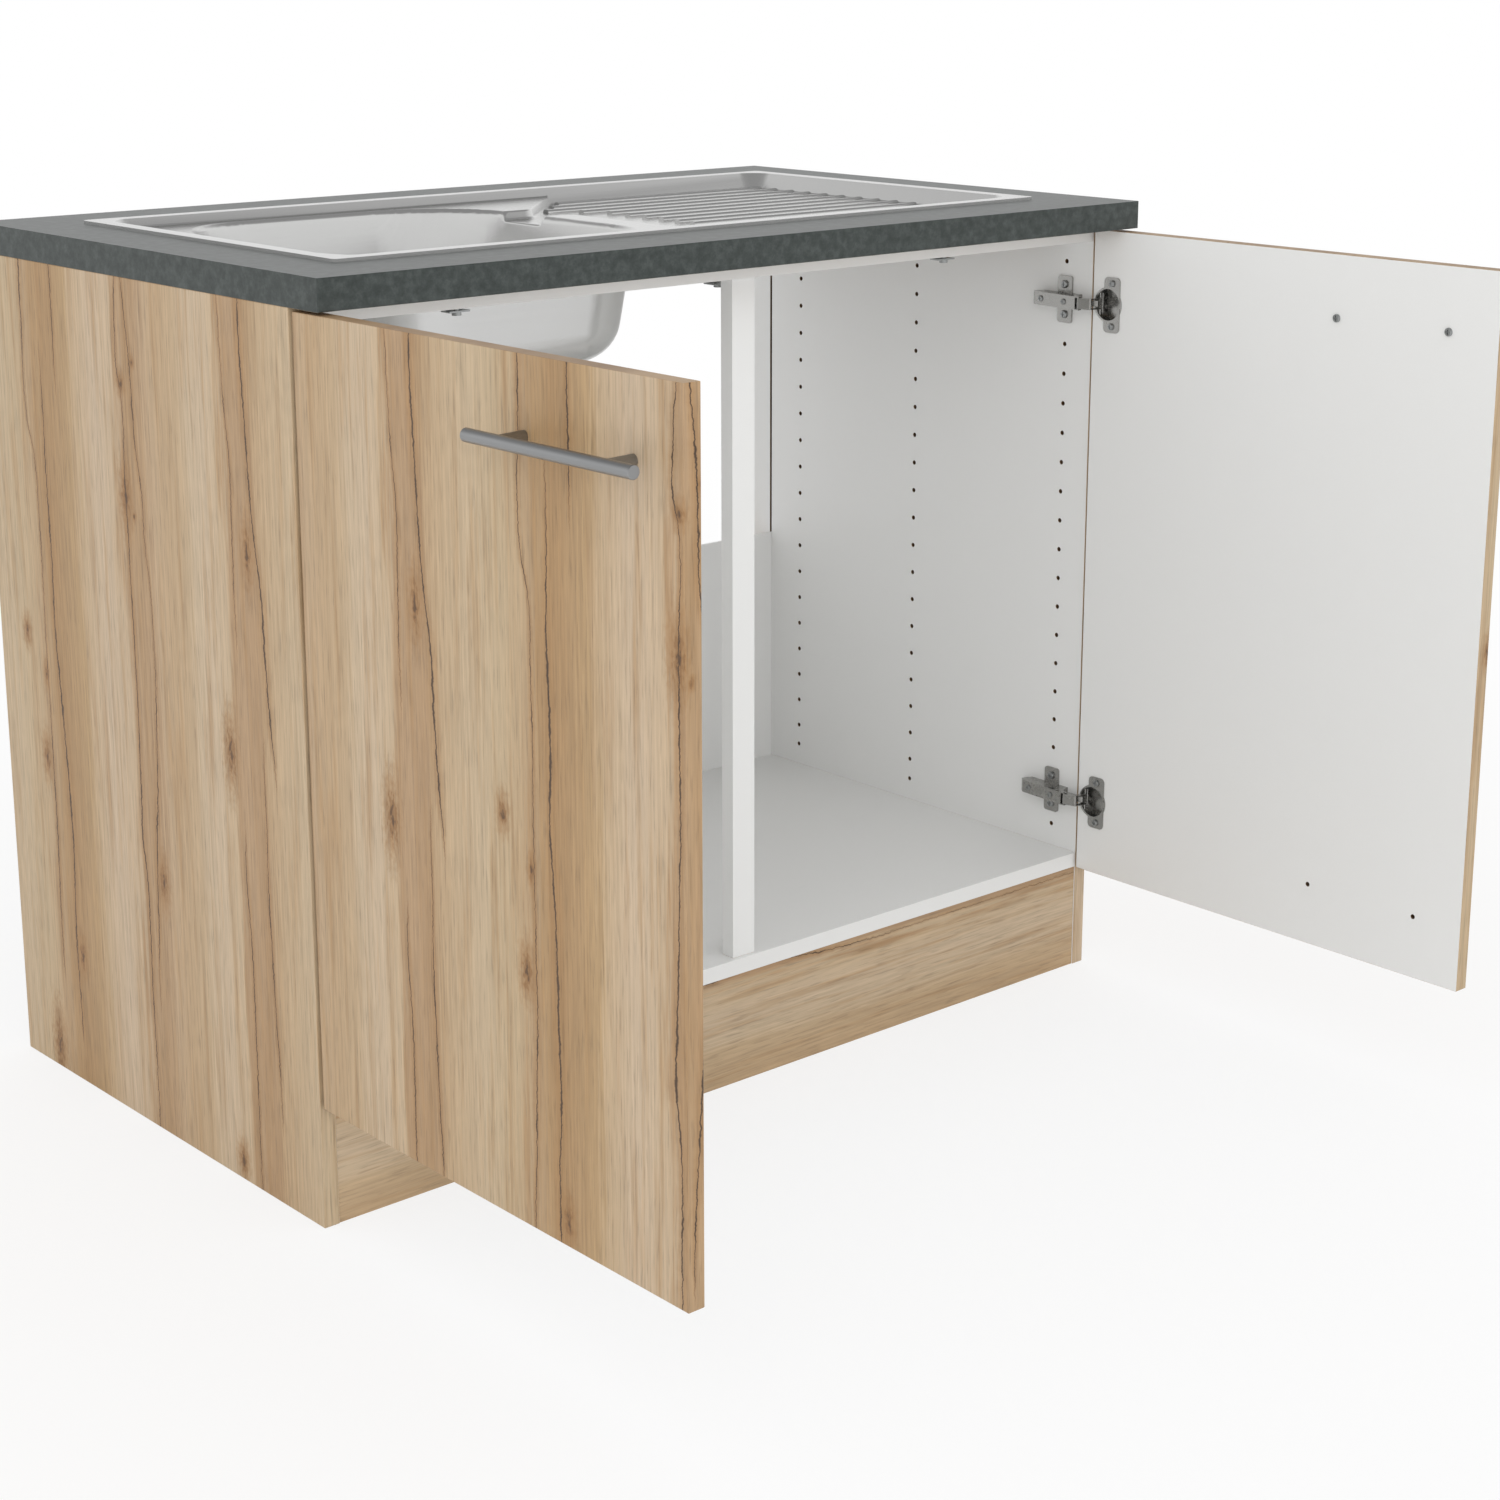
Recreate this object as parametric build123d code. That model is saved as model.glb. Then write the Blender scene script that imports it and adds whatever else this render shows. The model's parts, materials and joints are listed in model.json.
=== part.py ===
from build123d import *
import math
import os

# A kitchen sink unit one metre wide: a two-door base cabinet with a worktop and a drop-in
# steel sink. All sizes are in millimetres. While it is being made, the unit has x = 0 in its
# middle, y = 0 on the front edges of the side panels with +y going to the wall, and z = 0 on
# the floor. Both doors stand open at 90 degrees. At the end every piece is moved along y, so
# that the origin lies on the floor under the middle of the whole outline.

# ---------------------------------------------------------------- driving sizes
# carcass
unit_width = 1000.0
board = 16.0
carcass_height = 820.0
carcass_depth = 554.0
plinth_height = 115.0
plinth_setback = 1.5
front_rail_depth = 42.0
rear_rail_depth = 80.0
mullion_width = 28.0
mullion_setback = 5.0
back_thickness = 3.0
back_inset = 47.0
back_top = 412.0
groove_depth = 8.0
groove_play = 0.2
edge_softness = 0.5

# worktop
worktop_overhang = 46.0
worktop_thickness = 28.0
worktop_edge = 1.2

# row holes and fasteners of the carcass
hole_radius = 2.5
hole_depth = 12.0
hole_pitch = 32.0
hole_front = 37.0
column_steps = 7
column_last_gap = 6
lowest_row = 180.0
top_row_margin = 64.0
end_hole_step = 24.0
dowel_radius = 4.0
dowel_length = 30.0
dowel_in_side = 11.0
cam_radius = 7.5
cam_height = 12.0
cam_distance = 24.0
bolt_radius = 3.0
bolt_in_side = 11.0
drill_play = 0.1
screw_play = 0.05

# doors and handles
door_thickness = 16.0
door_below_worktop = 3.0
side_reveal = 2.0
middle_gap = 4.0
shut_gap = 2.0
open_gap = 3.0
bar_radius = 5.5
bar_length = 198.0
post_pitch = 128.0
post_radius = 4.2
post_base_radius = 5.0
bar_standoff = 28.0
handle_from_top = 61.5
handle_from_edge = 55.0
spare_hole_from_bottom = 62.7

# hinges: u runs inboard from the outer face of the side panel, v runs out of the front
plate_width = 20.0
plate_height = 50.0
plate_thickness = 2.0
plate_corner = 3.0
arm_half_width = 7.0
arm_sheet = 1.0
arm_back = 72.0
arm_top = 35.2
arm_pin_outer = (33.0, -4.0)
arm_pin_inner = (24.0, 4.0)
cup_pin_outer_reach = 7.5
cup_pin_inner_reach = 3.0
pin_radius = 1.0
pin_play = 0.05
link_half_width = 1.8
link_sheet = 1.1
link_knee = 8.0
inner_link_half_width = 3.0
inner_link_width = 1.4
inner_link_knee = 3.4
open_pivot_gap = 1.2
slide_gap = 0.3
cup_radius = 17.5
cup_depth = 11.0
cup_wall = 1.0
cup_from_edge = 21.3
cup_screw_pitch = 45.0
cup_screw_offset = 5.5
flange_width = 21.5
flange_length = 58.0
flange_thickness = 1.2

# sink
sink_length = 860.0
sink_depth = 435.0
sink_back_margin = 82.5
sheet = 0.8
rim_height = 3.0
rim_width = 16.0
rim_corner = 6.0
tray_corner = 25.0
tray_slope = 25.0
ledge_drop = 9.0
drainer_drop = 18.0
bowl_to_drainer = 31.0
drainer_cut_corner = 101.0
channel_from_front = 243.5
bowl_left_margin = 63.0
bowl_length = 346.0
bowl_front_margin = 39.5
bowl_back_margin = 29.5
bowl_corner = 100.0
bowl_taper = 9.7
bowl_below_rim = 131.0
bowl_floor_radius = 42.0
bowl_lip_radius = 6.0
ledge_step_radius = 3.0
tray_floor_radius = 4.0
channel_corner = 14.0
rib_pitch = 27.8
rib_width = 9.0
rib_height = 4.0
rib_first_from_back = 21.5
rib_front_margin = 20.0
rib_right_margin = 13.0
cutout_margin = 10.0
seal_width = 7.0
clip_sheet = 1.5
clip_width = 22.0
clip_foot = 10.5
clip_drop = 9.0
clip_gap = 1.3
clip_screw_head = 3.0
clip_screw_radius = 2.5
worktop_screw_radius = 2.0
cup_screw_radius = 2.0
handle_screw_radius = 2.0
arm_screw_radius = 2.0
arm_screw_head = 3.2
worktop_screw_head = 4.0
handle_screw_head = 4.0
cup_screw_head = 3.6
plate_screw_head = 4.2
high_head = 2.4
low_head = 2.0

# waste
flange_radius = 56.0
waste_cup_radius = 42.0
waste_cup_depth = 34.0
waste_wall = 1.2
waste_gap = 0.3
basket_radius = 36.0
basket_hole_radius = 2.5
gasket_height = 4.0
centre_screw_radius = 3.0
centre_screw_head = 3.0
basket_foot = 5.0
drain_ring = 24.0
drain_hole_radius = 5.0
body_wall = 3.0
outlet_radius = 20.0
outlet_length = 40.0

# ---------------------------------------------------------------- derived places
half = unit_width / 2
inner = half - board
floor_top = plinth_height + board
worktop_top = carcass_height + worktop_thickness
worktop_front = -worktop_overhang
back_front = carcass_depth - back_inset - back_thickness
door_width = (unit_width - 2 * side_reveal - middle_gap) / 2
door_top = carcass_height - door_below_worktop
door_outer = -half + side_reveal
door_inner = door_outer + door_thickness
door_near = -open_gap
door_far = -open_gap - door_width
row_count = int((carcass_height - top_row_margin - lowest_row) / hole_pitch) + 1
hinge_heights = (lowest_row + hole_pitch / 2, lowest_row + hole_pitch * (row_count - 1.5))
handle_z = door_top - handle_from_top
handle_y = (door_far + handle_from_edge, door_far + handle_from_edge + post_pitch)
rim_top = worktop_top + rim_height
sink_back = carcass_depth - sink_back_margin
sink_front = sink_back - sink_depth
sink_mid_y = (sink_back + sink_front) / 2
tray_x = sink_length / 2 - rim_width
tray_front = sink_front + rim_width
tray_back = sink_back - rim_width
ledge_z = rim_top - ledge_drop
drainer_z = rim_top - drainer_drop
bowl_floor = rim_top - bowl_below_rim
bowl_depth_y = sink_depth - bowl_front_margin - bowl_back_margin
bowl_centre_x = bowl_left_margin + bowl_length / 2 - sink_length / 2
bowl_mid_y = sink_back - bowl_back_margin - bowl_depth_y / 2
drainer_left = bowl_centre_x + bowl_length / 2 + bowl_to_drainer
channel_front = sink_front + channel_from_front
channel_back = tray_back - drainer_cut_corner
rib_count = int((tray_back - tray_front - rib_first_from_back - rib_front_margin) / rib_pitch) + 1
cutout_x = sink_length / 2 - cutout_margin
cutout_front = sink_front + cutout_margin
cutout_back = sink_back - cutout_margin


# ---------------------------------------------------------------- helpers
def block(x0, x1, y0, y1, z0, z1):
    """A box between two corners."""
    return Pos((x0 + x1) / 2, (y0 + y1) / 2, (z0 + z1) / 2) * Box(x1 - x0, y1 - y0, z1 - z0)


def rod(start, end, radius):
    """A round bar between two points."""
    axis = Vector(*end) - Vector(*start)
    return extrude(Plane(origin=start, z_dir=axis) * Circle(radius), amount=axis.length)


def hinge_point(u, v):
    """A place beside the left side panel: u inboard of its outer face, v in front of the carcass."""
    return (-half + u, -v)


def hinge_shape(points):
    """A closed outline given in u and v."""
    return make_face(Polyline(*[hinge_point(u, v) for u, v in points], close=True))


def hinge_disc(place, radius):
    return Pos(*hinge_point(*place)) * Circle(radius)


def layer(sketch, low, high):
    """Part of a hinge between two distances from its middle plane, on both sides of it."""
    if low == 0:
        return extrude(sketch, amount=high, both=True)
    upper = extrude(Pos(0, 0, low) * sketch, amount=high - low)
    return upper + mirror(upper, Plane.XY)


def mirrored(shape):
    return mirror(shape, Plane.YZ)


def softened(panel, radius=edge_softness):
    """A board with its long sharp edges just broken."""
    return chamfer(panel.edges(), radius)


def cross_recess(head_radius, depth):
    """The cross cut in a screw head, opening downwards at z = 0."""
    bar = Box(1.3 * head_radius, 0.26 * head_radius, depth, align=(Align.CENTER, Align.CENTER, Align.MIN))
    return bar + Rot(0, 0, 90) * bar


def screw(radius, length, head_radius, head_height):
    """A cross-headed screw pointing up, with its head below z = 0."""
    head = Pos(0, 0, -head_height / 2) * Cylinder(head_radius, head_height)
    head = fillet(head.faces().sort_by(Axis.Z)[0].edges(), head_height * 0.45)
    shank = Pos(0, 0, (length - radius) / 2) * Cylinder(radius, length - radius)
    tip = Pos(0, 0, length - radius / 2) * Cone(radius, radius * 0.2, radius)
    return head + shank + tip - Pos(0, 0, -head_height) * cross_recess(head_radius, head_height * 0.6)


# ---------------------------------------------------------------- where the fasteners go
row_heights = [lowest_row + hole_pitch * k for k in range(row_count)]
row_heights = [lowest_row - end_hole_step] + row_heights + [row_heights[-1] + end_hole_step]
column_places = [hole_front, hole_front + hole_pitch * column_steps]
column_places.append(column_places[-1] + hole_pitch * column_last_gap)
plate_screw_rows = [z + side * hole_pitch / 2 for z in hinge_heights for side in (-1, 1)]
board_mid = board / 2
bottom_z = plinth_height + board_mid
rail_z = carcass_height - board_mid
rear_rail_front = carcass_depth - rear_rail_depth
bottom_joints = {"dowels": (92.0, back_front - 92.0), "bolts": (60.0, back_front - 60.0)}
rail_joints = {"dowels": (11.0, rear_rail_front + 14.0), "bolts": (28.0, carcass_depth - 24.0)}
mullion_y = mullion_setback + board_mid
plinth_y = plinth_setback + board_mid
plinth_dowel_x = (-0.8 * inner, -0.3 * inner, 0.3 * inner, 0.8 * inner)
worktop_screw_x = 0.62 * half
worktop_screw_y = (front_rail_depth / 2, carcass_depth - rear_rail_depth / 2)
dowel_in_rail = dowel_length - dowel_in_side


def side_dowels(play):
    """The dowels of the left side panel, or the holes for them when play is above zero."""
    places = [(y, bottom_z) for y in bottom_joints["dowels"]]
    places += [(y, rail_z) for y in rail_joints["dowels"]] + [(plinth_y, plinth_height / 2)]
    low = -inner - dowel_in_side - play
    high = -inner + dowel_in_rail + play
    return [rod((low, y, z), (high, y, z), dowel_radius + play) for y, z in places]


def upright_dowels(play):
    """The dowels of the mullion and the plinth board, or the holes for them."""
    rail_under = carcass_height - board
    spans = [(0, mullion_y, floor_top - dowel_in_side, floor_top + dowel_in_rail)]
    spans.append((0, mullion_y, rail_under - dowel_in_rail, rail_under + dowel_in_side))
    for x in plinth_dowel_x:
        spans.append((x, plinth_y, plinth_height - dowel_in_rail, plinth_height + dowel_in_side))
    return [rod((x, y, low - play), (x, y, high + play), dowel_radius + play) for x, y, low, high in spans]


def bolt_places():
    return [(y, bottom_z) for y in bottom_joints["bolts"]] + [(y, rail_z) for y in rail_joints["bolts"]]


def cam_bolts(play):
    """The bolts that run from the left side panel into the cams, or the holes for them."""
    low = -inner - bolt_in_side - play
    high = -inner + cam_distance
    return [rod((low, y, z), (high, y, z), bolt_radius + play) for y, z in bolt_places()]


def cams(play):
    """The round cams, sunk in the underside of the bottom panel and the tops of the rails."""
    discs = []
    for y, z in bolt_places():
        start = plinth_height if z == bottom_z else carcass_height
        end = start + cam_height + play if z == bottom_z else start - cam_height - play
        centre = -inner + cam_distance
        disc = rod((centre, y, start), (centre, y, end), cam_radius + play)
        if play == 0:
            recess = cross_recess(cam_radius * 0.7, cam_height * 0.15)
            disc -= Pos(centre, y, start) * Rot(0 if z == bottom_z else 180, 0, 0) * recess
            disc -= rod((centre - 2 * cam_radius, y, z), (centre, y, z), bolt_radius + screw_play)
        discs.append(disc)
    return discs


# ---------------------------------------------------------------- carcass
def side_panel():
    panel = softened(block(-half, -inner, 0, carcass_depth, 0, carcass_height))
    panel -= block(-inner - groove_depth, -inner, back_front - groove_play,
                   back_front + back_thickness + groove_play, plinth_height, carcass_height)
    for y in column_places:
        for z in row_heights:
            panel -= rod((-inner - hole_depth, y, z), (-inner, y, z), hole_radius)
    for hole in side_dowels(drill_play) + cam_bolts(drill_play):
        panel -= hole
    return panel


def bored(panel):
    """A board between the side panels, with its holes at both ends."""
    for hole in side_dowels(drill_play) + cam_bolts(drill_play) + cams(drill_play):
        panel -= hole
        panel -= mirrored(hole)
    for hole in upright_dowels(drill_play):
        panel -= hole
    return panel


def bottom_panel():
    return bored(block(-inner, inner, 0, back_front, plinth_height, floor_top))


def rail(y0, y1, screw_y):
    board_piece = bored(block(-inner, inner, y0, y1, carcass_height - board, carcass_height))
    for x in (-worktop_screw_x, worktop_screw_x):
        hole = (x, screw_y, carcass_height - board), (x, screw_y, carcass_height)
        board_piece -= rod(*hole, worktop_screw_radius + drill_play)
    return board_piece


def plinth_board():
    return bored(block(-inner, inner, plinth_setback, plinth_setback + board, 0, plinth_height))


def mullion():
    return bored(block(-mullion_width / 2, mullion_width / 2, mullion_setback, mullion_setback + board,
                       floor_top, carcass_height - board))


def back_board():
    reach = inner + groove_depth - groove_play
    back = back_front + back_thickness
    return block(-reach, reach, back_front, back, plinth_height + groove_play, back_top)


# ---------------------------------------------------------------- worktop
worktop_screw_length = board + worktop_thickness * 0.55


def worktop():
    top = block(-half, half, worktop_front, carcass_depth, carcass_height, worktop_top)
    front_edges = top.edges().filter_by(Axis.X).group_by(Axis.Y)[0]
    top = fillet(front_edges + top.edges().filter_by(Axis.Z), worktop_edge)
    opening = RectangleRounded(2 * cutout_x, cutout_back - cutout_front, cutout_margin)
    top -= Pos(0, (cutout_front + cutout_back) / 2, carcass_height) * extrude(opening, worktop_thickness)
    for x in (-worktop_screw_x, worktop_screw_x):
        for y in worktop_screw_y:
            reach = carcass_height - board + worktop_screw_length + drill_play
            top -= rod((x, y, carcass_height), (x, y, reach), worktop_screw_radius + screw_play)
    return top


def worktop_screws():
    places = [(x, y) for x in (-worktop_screw_x, worktop_screw_x) for y in worktop_screw_y]
    one = screw(worktop_screw_radius, worktop_screw_length, worktop_screw_head, high_head)
    return [Pos(x, y, carcass_height - board) * one for x, y in places]


# ---------------------------------------------------------------- sink
def hollow(x0, x1, y0, y1, corner, top, bottom, slope, floor_radius, grow):
    """A space whose walls slope inwards as it goes down; grow makes it bigger on every side."""
    outline = RectangleRounded(x1 - x0 + 2 * grow, y1 - y0 + 2 * grow, corner + grow)
    place = Pos((x0 + x1) / 2, (y0 + y1) / 2, top)
    space = place * extrude(outline, amount=top - bottom + grow, dir=(0, 0, -1), taper=slope)
    return fillet(space.faces().sort_by(Axis.Z)[0].edges(), floor_radius + grow)


def tray_hollow(bottom, grow):
    return hollow(-tray_x, tray_x, tray_front, tray_back, tray_corner, rim_top, bottom, tray_slope,
                  tray_floor_radius, grow)


def drainer_outline(grow):
    """The deeper floor on the right, with its cut corner at the back and its channel to the bowl."""
    left = drainer_left - grow
    right = tray_x + drainer_drop
    front = tray_front - drainer_drop
    back = tray_back + drainer_drop
    step_x = left + drainer_cut_corner
    near = channel_front - grow
    far = channel_back + grow
    points = [(left, front), (right, front), (right, back), (step_x, back), (step_x, tray_back)]
    points += [(left + grow, far), (bowl_centre_x, far)]
    points += [(bowl_centre_x, near), (left, near)]
    outline = make_face(Polyline(*points, close=True))
    turns = outline.vertices().filter_by(lambda p: abs(p.X - left) < 1 and tray_front < p.Y < tray_back)
    return fillet(turns, channel_corner)


def drainer_hollow(grow):
    keep = extrude(drainer_outline(grow), amount=drainer_drop + grow, dir=(0, 0, -1), taper=tray_slope)
    keep = Pos(0, 0, rim_top) * keep
    keep = fillet(keep.faces().sort_by(Axis.Z)[0].edges(), tray_floor_radius + grow)
    return tray_hollow(drainer_z, grow) & keep


def level_edges(shape, z):
    """The edges of a shape that lie flat at one height."""
    edges = shape.edges().filter_by(lambda e: abs(e.bounding_box().min.Z - z) < 0.005)
    return edges.filter_by(lambda e: abs(e.bounding_box().max.Z - z) < 0.005)


def sink_space(grow):
    """Everything that is open above the sink's sheet."""
    x0 = bowl_centre_x - bowl_length / 2
    x1 = bowl_centre_x + bowl_length / 2
    y0 = bowl_mid_y - bowl_depth_y / 2
    y1 = bowl_mid_y + bowl_depth_y / 2
    bowl = hollow(x0, x1, y0, y1, bowl_corner, ledge_z, bowl_floor, bowl_taper, bowl_floor_radius, grow)
    space = tray_hollow(ledge_z, grow) + bowl
    lip = level_edges(space, ledge_z - grow)
    lip = lip.filter_by(lambda e: x0 - 5 < e.center().X < x1 + 5 and y0 - 5 < e.center().Y < y1 + 5)
    space = fillet(lip, bowl_lip_radius) + drainer_hollow(grow)
    step = level_edges(space, ledge_z - grow)
    beside = x1 + bowl_lip_radius + 2
    step = step.filter_by(lambda e: beside < e.center().X < tray_x / 2 and e.length < tray_x / 2)
    return fillet(step, ledge_step_radius)


def rib_starts():
    """Left ends of the ribs from the back: three step back along the cut corner, then a slow curve."""
    return [drainer_left + 101, drainer_left + 73, drainer_left + 44, drainer_left + 69] + [
        drainer_left + 86 - 0.55 * (k - 5.6) ** 2 for k in range(4, rib_count)]


def ribs():
    bars = []
    for k, start in enumerate(rib_starts()):
        y = tray_back - rib_first_from_back - rib_pitch * k
        section = Rectangle(rib_width, rib_height * 2)
        section = fillet(section.vertices(), rib_height * 0.85)
        long = tray_x - rib_right_margin - start
        bar = Pos(start, y, drainer_z) * (Plane.YZ * extrude(section, amount=long))
        bar = split(bar, Plane(origin=(0, 0, drainer_z - sheet / 2), z_dir=(0, 0, 1)), keep=Keep.TOP)
        bars.append(bar)
    return bars


def sink():
    """The pressed sheet: a flat rim turned down at its edge, the ledge, the drainer and the bowl."""
    outer = RectangleRounded(sink_length, sink_depth, rim_corner)
    lip = outer - RectangleRounded(sink_length - 2 * sheet, sink_depth - 2 * sheet, rim_corner - sheet)
    pressed = Pos(0, sink_mid_y, rim_top - sheet) * extrude(outer, sheet)
    pressed += Pos(0, sink_mid_y, worktop_top) * extrude(lip, rim_height)
    opening = Pos(0, sink_mid_y, rim_top) * extrude(
        RectangleRounded(2 * tray_x, tray_back - tray_front, tray_corner), rim_height)
    pressed += sink_space(sheet)
    pressed -= sink_space(0) + opening
    pressed += ribs()
    drain = Pos(bowl_centre_x, bowl_mid_y, bowl_floor) * Cylinder(waste_cup_radius + waste_gap, 4 * sheet)
    return pressed - drain


def sink_seal():
    """A flat strip of foam between the rim and the worktop, just inside the turned-down lip."""
    long = sink_length - 4 * sheet
    deep = sink_depth - 4 * sheet
    outer = RectangleRounded(long, deep, rim_corner - 2 * sheet)
    opening = RectangleRounded(long - 2 * seal_width, deep - 2 * seal_width, rim_corner / 3)
    return Pos(0, sink_mid_y, worktop_top) * extrude(outer - opening, rim_height - sheet)


def clip_places():
    """Middle of each clip at the edge of the cut-out, the way it faces and what it grips."""
    along_x = (-0.72 * cutout_x, 0.0, 0.72 * cutout_x)
    along_y = (sink_mid_y - 0.28 * sink_depth, sink_mid_y + 0.28 * sink_depth)
    rail_under = carcass_height - board
    places = [(-cutout_x, y, 180, carcass_height) for y in along_y]
    places += [(cutout_x, y, 0, carcass_height) for y in along_y]
    places += [(x, cutout_back, 90, carcass_height) for x in along_x]
    places += [(x, cutout_front, -90, rail_under) for x in along_x]
    return places


def clips(make):
    return [Pos(x, y, 0) * Rot(0, 0, turn) * make(under) for x, y, turn, under in clip_places()]


def clip(under):
    """A bent strip that hangs from the rim beside the cut-out and reaches out below the worktop."""
    side = clip_width / 2
    low = under - clip_drop
    bent = block(-clip_gap - clip_sheet, -clip_gap, -side, side, low, rim_top - sheet)
    bent += block(-clip_gap - clip_sheet, clip_foot, -side, side, low, low + clip_sheet)
    return bent - rod((clip_foot / 2, 0, low), (clip_foot / 2, 0, under), clip_screw_radius + screw_play)


def clip_screw(under):
    """The screw in a clip's foot, which presses up against what the sink is clamped to."""
    x = clip_foot / 2
    low = under - clip_drop
    head = rod((x, 0, low - clip_screw_head), (x, 0, low), clip_screw_radius * 1.7)
    head -= Pos(x, 0, low - clip_screw_head) * cross_recess(clip_screw_radius * 1.6, clip_screw_head / 2)
    return head + rod((x, 0, low), (x, 0, under), clip_screw_radius)


# ---------------------------------------------------------------- waste
def turned(points):
    """A round piece about the bowl's drain, from an outline of radius and height."""
    outline = Plane.XZ * make_face(Polyline(*points, close=True))
    return Pos(bowl_centre_x, bowl_mid_y, 0) * revolve(outline, Axis.Z)


cup_floor = bowl_floor - waste_cup_depth
seat = bowl_floor + waste_wall
body_top = bowl_floor - sheet - gasket_height
outlet_top = cup_floor - waste_gap - 3 * body_wall
outlet_bottom = outlet_top - outlet_length
screw_top = cup_floor + waste_wall + centre_screw_head
basket_floor = screw_top + basket_foot


def strainer_flange():
    """The steel cup that hangs in the drain hole by its flange, with a ring of holes in its floor."""
    r = waste_cup_radius
    cup = turned([(0, cup_floor), (r - 4, cup_floor), (r, cup_floor + 4), (r, bowl_floor),
                  (flange_radius, bowl_floor), (flange_radius - 3, seat), (r - waste_wall, seat),
                  (r - waste_wall, cup_floor + 4 + waste_wall), (r - 4 - waste_wall / 2, cup_floor + waste_wall),
                  (0, cup_floor + waste_wall)])
    for k in range(8):
        turn = math.radians(45 * k)
        x = bowl_centre_x + drain_ring * math.cos(turn)
        y = bowl_mid_y + drain_ring * math.sin(turn)
        cup -= rod((x, y, cup_floor - 1), (x, y, cup_floor + 2 * waste_wall), drain_hole_radius)
    middle = Pos(bowl_centre_x, bowl_mid_y, cup_floor)
    return cup - middle * Cylinder(centre_screw_radius + drill_play, 4 * waste_wall)


def strainer_gasket():
    r = waste_cup_radius + waste_gap
    top = bowl_floor - sheet
    return turned([(r, body_top), (flange_radius, body_top), (flange_radius, top), (r, top)])


def waste_body():
    """The plastic body under the bowl, drawn up to the flange by the centre screw."""
    r = waste_cup_radius + waste_gap
    low = cup_floor - waste_gap
    bore = outlet_radius - body_wall
    neck = outlet_radius + body_wall
    body = turned([(r, body_top), (flange_radius, body_top), (flange_radius, body_top - body_wall),
                   (r + body_wall, body_top - 2 * body_wall), (r + body_wall, low - body_wall),
                   (neck, low - 2 * body_wall), (neck, outlet_top), (bore, outlet_top), (bore, low - body_wall),
                   (r, low)])
    reach = outlet_radius - body_wall / 2
    bar = block(bowl_centre_x - reach, bowl_centre_x + reach, bowl_mid_y - 5, bowl_mid_y + 5,
                outlet_top, low - body_wall)
    middle = (bowl_centre_x, bowl_mid_y)
    hole = rod((*middle, low - 4 * body_wall), (*middle, low), centre_screw_radius + drill_play)
    return body + bar - hole


def waste_tail():
    """The outlet pipe below the waste body, which the trap goes on."""
    return turned([(outlet_radius - body_wall, outlet_bottom), (outlet_radius, outlet_bottom),
                   (outlet_radius, outlet_top), (outlet_radius - body_wall, outlet_top)])


def strainer_screw():
    """The centre screw, with its round head inside the cup."""
    r = centre_screw_radius
    low = cup_floor + waste_wall
    return turned([(0, outlet_top), (r, outlet_top), (r, low), (2 * r, low), (2 * r - 1, screw_top),
                   (0, screw_top)])


def strainer_basket():
    """The lift-out basket, which stands on the centre screw and has a knob to pull it by."""
    r = basket_radius
    basket = turned([(0, screw_top), (4, screw_top), (5, basket_floor), (r - 8, basket_floor), (r, seat - 8),
                     (r + 2.5, seat), (r + 1, seat + 0.8),
                     (r - 1.2, seat - 7.5), (r - 8.6, basket_floor + 1.2), (6, basket_floor + 1.2),
                     (4, seat - 8), (7, seat - 5), (7, seat - 1), (5, seat + 1), (0, seat + 1)])
    for ring, count in ((12.0, 8), (20.0, 14)):
        for k in range(count):
            turn = 2 * math.pi * k / count
            x = bowl_centre_x + ring * math.cos(turn)
            y = bowl_mid_y + ring * math.sin(turn)
            basket -= rod((x, y, basket_floor - 1), (x, y, basket_floor + 3), basket_hole_radius)
    return basket


# ---------------------------------------------------------------- doors and handles
handle_z_spare = plinth_height + spare_hole_from_bottom
cup_v = open_gap + cup_from_edge
cup_screw_v = cup_v + cup_screw_offset
bar_x = door_outer - bar_standoff
handle_screw_length = door_thickness + 9.0
door_face_u = side_reveal + door_thickness


def cup_screw_places():
    """Heights and depths of the screws that hold the hinge cups."""
    return [(z + side * cup_screw_pitch / 2, -cup_screw_v) for z in hinge_heights for side in (-1, 1)]


def door():
    """The left door, standing open, with its bores for the hinge cups and the handle."""
    panel = softened(block(door_outer, door_inner, door_far, door_near, plinth_height, door_top))
    for z in hinge_heights:
        bore_end = (door_inner - cup_depth - slide_gap, -cup_v, z)
        panel -= rod(bore_end, (door_inner, -cup_v, z), cup_radius + screw_play)
    for z, y in cup_screw_places():
        panel -= rod((door_inner - hole_depth, y, z), (door_inner, y, z), cup_screw_radius + screw_play)
    for y in handle_y:
        panel -= rod((door_outer, y, handle_z), (door_inner, y, handle_z), handle_screw_radius + drill_play)
        spare_end = (door_inner - hole_depth, y, handle_z_spare)
        panel -= rod(spare_end, (door_inner, y, handle_z_spare), hole_radius)
    return panel


def handle_bar():
    start = (handle_y[0] + handle_y[1] - bar_length) / 2
    bar = rod((bar_x, start, handle_z), (bar_x, start + bar_length, handle_z), bar_radius)
    return chamfer(bar.edges().filter_by(GeomType.CIRCLE), edge_softness)


def handle_posts():
    """Two posts, wider at the door, that reach the bar and take the screws."""
    posts = []
    height = bar_standoff - bar_radius / 2
    cone = Pos(0, 0, height / 2) * Cone(post_base_radius, post_radius, height)
    hole_end = door_outer - handle_screw_length + door_thickness - 1
    for y in handle_y:
        post = Pos(door_outer, y, handle_z) * Rot(0, -90, 0) * cone
        saddle = Pos(bar_x, y, handle_z) * Rot(90, 0, 0) * Cylinder(bar_radius + screw_play, 2 * bar_radius)
        hole = rod((hole_end, y, handle_z), (door_outer, y, handle_z), handle_screw_radius + screw_play)
        posts.append(post - saddle - hole)
    return posts


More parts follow.
